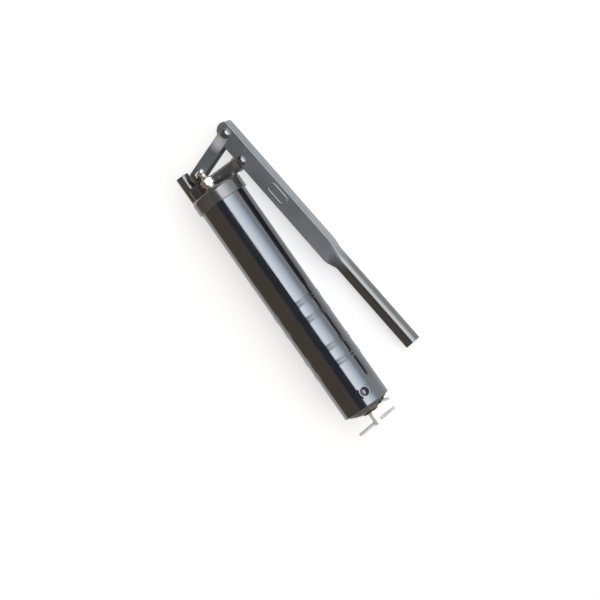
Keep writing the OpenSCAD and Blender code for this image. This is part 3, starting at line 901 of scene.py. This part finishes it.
def stamped(x, y):
    """Height of the plain stadium-shaped bead and the small pip that stand on the near plate."""
    run = np.clip(x - MARK[0], -MARK_HALF, MARK_HALF)
    away = np.hypot(x - MARK[0] - run, y - MARK[1])
    bead = MARK_H * np.exp(-((away - MARK_R) / 0.75) ** 2)
    pip = PIP_H * np.exp(-(np.hypot(x - PIP[0], y - PIP[1]) / 0.9) ** 2)
    return bead + pip


def lever_rings():
    """Closed rings of points along the lever, each going out on the outer face and back inside."""
    count = 112
    channel, channel_out = channel_outline(count)
    grip, grip_out = grip_outline(count)
    c, s = math.cos(LEVER_ANGLE), math.sin(LEVER_ANGLE)
    out = PIVOT_B[:2] - PIVOT_C[:2]
    b = np.array([out[0] * c - out[1] * s, -out[0] * s - out[1] * c])
    share = np.abs(np.linspace(-1, 1, count))
    turn_len = ROLL_LEN - ROLL_SPREAD * share

    # Places along the lever, closer together at the roll, the stamped mark and the pip
    start, stop = LEVER_TIP, b[0] - 5
    stations = [start, start + 0.25] + list(np.linspace(start + 1, GRIP_X - 2, 24))
    stations += list(np.arange(GRIP_X, GRIP_X + 42, 1.0)) + list(np.linspace(GRIP_X + 44, -72, 18))
    stations += list(np.arange(-71, -38, 0.55)) + list(np.linspace(-36, 2, 12))
    stations += list(np.arange(2.6, 8.2, 0.5)) + list(np.linspace(9.5, stop, 8))
    top = list(np.linspace(0, 1, 24)[1:])

    rings = []
    for i, place in enumerate(stations + top):
        rises = i >= len(stations)
        base = stop if rises else place
        w = ease((GRIP_X + turn_len - base) / turn_len)[:, None]
        line = channel * (1 - w) + grip * w
        normal = channel_out * (1 - w) + grip_out * w
        normal /= np.linalg.norm(normal, axis=1, keepdims=True)
        x = np.full(count, float(base))
        if rises:
            x = stop + (top_of(line[:, 0], b) - stop) * place
        near = normal[:, 1] > 0.99
        lift = np.where(near, stamped(x, line[:, 0]), 0)[:, None]
        core = line - normal * LEVER_WALL / 2
        half = LEVER_WALL / 2
        if i in (0, len(stations) + len(top) - 1):
            half -= END_ROUND
        outer, inner = core + normal * half + normal * lift, core - normal * half + normal * lift
        tip_a = (outer[0] + inner[0]) / 2 + unit(line[0] - line[1]) * EDGE_ROUND
        tip_b = (outer[-1] + inner[-1]) / 2 + unit(line[-1] - line[-2]) * EDGE_ROUND
        loop = np.concatenate([outer, tip_b[None], inner[::-1], tip_a[None]])
        xs = np.concatenate([x, x[-1:], x[::-1], x[:1]])
        gun_x = PIVOT_C[0] + xs * c - loop[:, 0] * s
        gun_l = PIVOT_C[1] - xs * s - loop[:, 0] * c
        rings.append(np.stack([gun_x, gun_l, loop[:, 1]], -1))
    return np.array(rings), count


def lever():
    """The lever's one pressing: its rings joined up, and closed at both ends."""
    rings, count = lever_rings()
    rows, columns = rings.shape[:2]
    faces = grid_faces(rows, columns, wrap_columns=True)
    for row in (0, rows - 1):
        start = row * columns
        for j in range(count - 1):
            back = start + 2 * count - j
            faces.append((start + j, start + j + 1, back - 1, back))
        faces.append((start + count - 1, start + count, start + count + 1))
        faces.append((start, start + 2 * count, start + 2 * count + 1))
    make("lever_pressing", rings.reshape(-1, 3), faces, "lever", "lever_arm", lever_paint)


lever()

# ---------------------------------------------------------------- floor, light and camera

FLOOR_HALF = 6.0

# How far away the window is, in m, and its strips: lowest and highest angle above the floor, radiance
# and tint
WINDOW_AWAY = 4.0
WINDOW = ((0.3, 4, 1.5, (0.80, 0.90, 1.0)), (4, 10, 2.0, (0.82, 0.91, 1.0)),
          (10, 18, 2.6, (0.85, 0.92, 1.0)), (18, 28, 3.2, (0.90, 0.94, 1.0)),
          (28, 40, 3.9, (0.95, 0.97, 1.0)), (40, 58, 4.4, (1.0, 0.98, 0.99)))


def pale_floor():
    half = FLOOR_HALF
    mesh = bpy.data.meshes.new("floor")
    mesh.from_pydata([(-half, -half, 0), (half, -half, 0), (half, half, 0), (-half, half, 0)], [],
                     [(0, 1, 2, 3)])
    floor = bpy.data.objects.new("floor", mesh)
    bpy.context.scene.collection.objects.link(floor)
    material = bpy.data.materials.new("floor")
    material.use_nodes = True
    shader = material.node_tree.nodes["Principled BSDF"]
    shader.inputs["Base Color"].default_value = colour(0.52, 0.52, 0.52)
    shader.inputs["Roughness"].default_value = 0.9
    shader.inputs["Specular IOR Level"].default_value = 0.1
    shader.inputs["Emission Color"].default_value = colour(1, 1, 1)
    shader.inputs["Emission Strength"].default_value = 0.66
    mesh.materials.append(material)


def panel(name, centre, aim, width, height, radiance, tint):
    """Soft rectangular light of a given radiance that lights and reflects but isn't seen."""
    light = bpy.data.lights.new(name, "AREA")
    light.shape = "RECTANGLE"
    light.size, light.size_y = width, height
    light.energy = radiance * math.pi * width * height
    light.color = tint
    lamp = bpy.data.objects.new(name, light)
    lamp.location = centre
    lamp.rotation_euler = (Vector(centre) - Vector(aim)).to_track_quat("Z", "Y").to_euler()
    lamp.visible_camera = False
    bpy.context.scene.collection.objects.link(lamp)


def surroundings():
    """Dim warm room on the far side, dark overhead, and pale where the camera looks past the floor."""
    world = bpy.data.worlds.new("room")
    bpy.context.scene.world = world
    world.use_nodes = True
    tree = world.node_tree
    back = tree.nodes["Background"]
    place = tree.nodes.new("ShaderNodeTexCoord")
    parts = tree.nodes.new("ShaderNodeSeparateXYZ")
    tree.links.new(place.outputs["Generated"], parts.inputs[0])
    side = tree.nodes.new("ShaderNodeMapRange")
    tree.links.new(parts.outputs["Y"], side.inputs["Value"])
    side.inputs["From Min"].default_value = 0.02
    side.inputs["From Max"].default_value = 0.12
    room = mixed(tree, side.outputs[0], colour(0.06, 0.075, 0.095), colour(0.31, 0.235, 0.155))
    seen = tree.nodes.new("ShaderNodeLightPath").outputs["Is Camera Ray"]
    feed(tree, back.inputs["Color"], mixed(tree, seen, room, colour(0.95, 0.95, 0.95)))


def look_from(eye, aim, up, lens):
    """Camera from points and a direction given in the gun's axes, in mm."""
    back = Vector(to_row(eye) - to_row(aim)).normalized()
    side = Vector(np.asarray(up, float) @ AXES).cross(back).normalized()
    turn = Matrix((side, back.cross(side), back)).transposed()
    data = bpy.data.cameras.new("camera")
    data.lens = lens
    data.sensor_width = 36
    data.clip_end = 50
    camera = bpy.data.objects.new("camera", data)
    camera.matrix_world = Matrix.Translation(Vector(to_row(eye))) @ turn.to_4x4()
    bpy.context.scene.collection.objects.link(camera)
    bpy.context.scene.camera = camera


pale_floor()
for low, high, radiance, tint in WINDOW:
    bottom, top = (WINDOW_AWAY * math.tan(math.radians(angle)) for angle in (low, high))
    height = (bottom + top) / 2
    panel("window", (0.0, -WINDOW_AWAY, height), (0.0, 0.0, height), 2.5 * WINDOW_AWAY, top - bottom,
          radiance, tint)
surroundings()
look_from(eye=(89.0, 716.9, 2487.3), aim=(136.4, 7.5, 3.2), up=(0.8187, 0.5561, -0.1432), lens=142.1)
bpy.context.scene.view_settings.view_transform = "Standard"
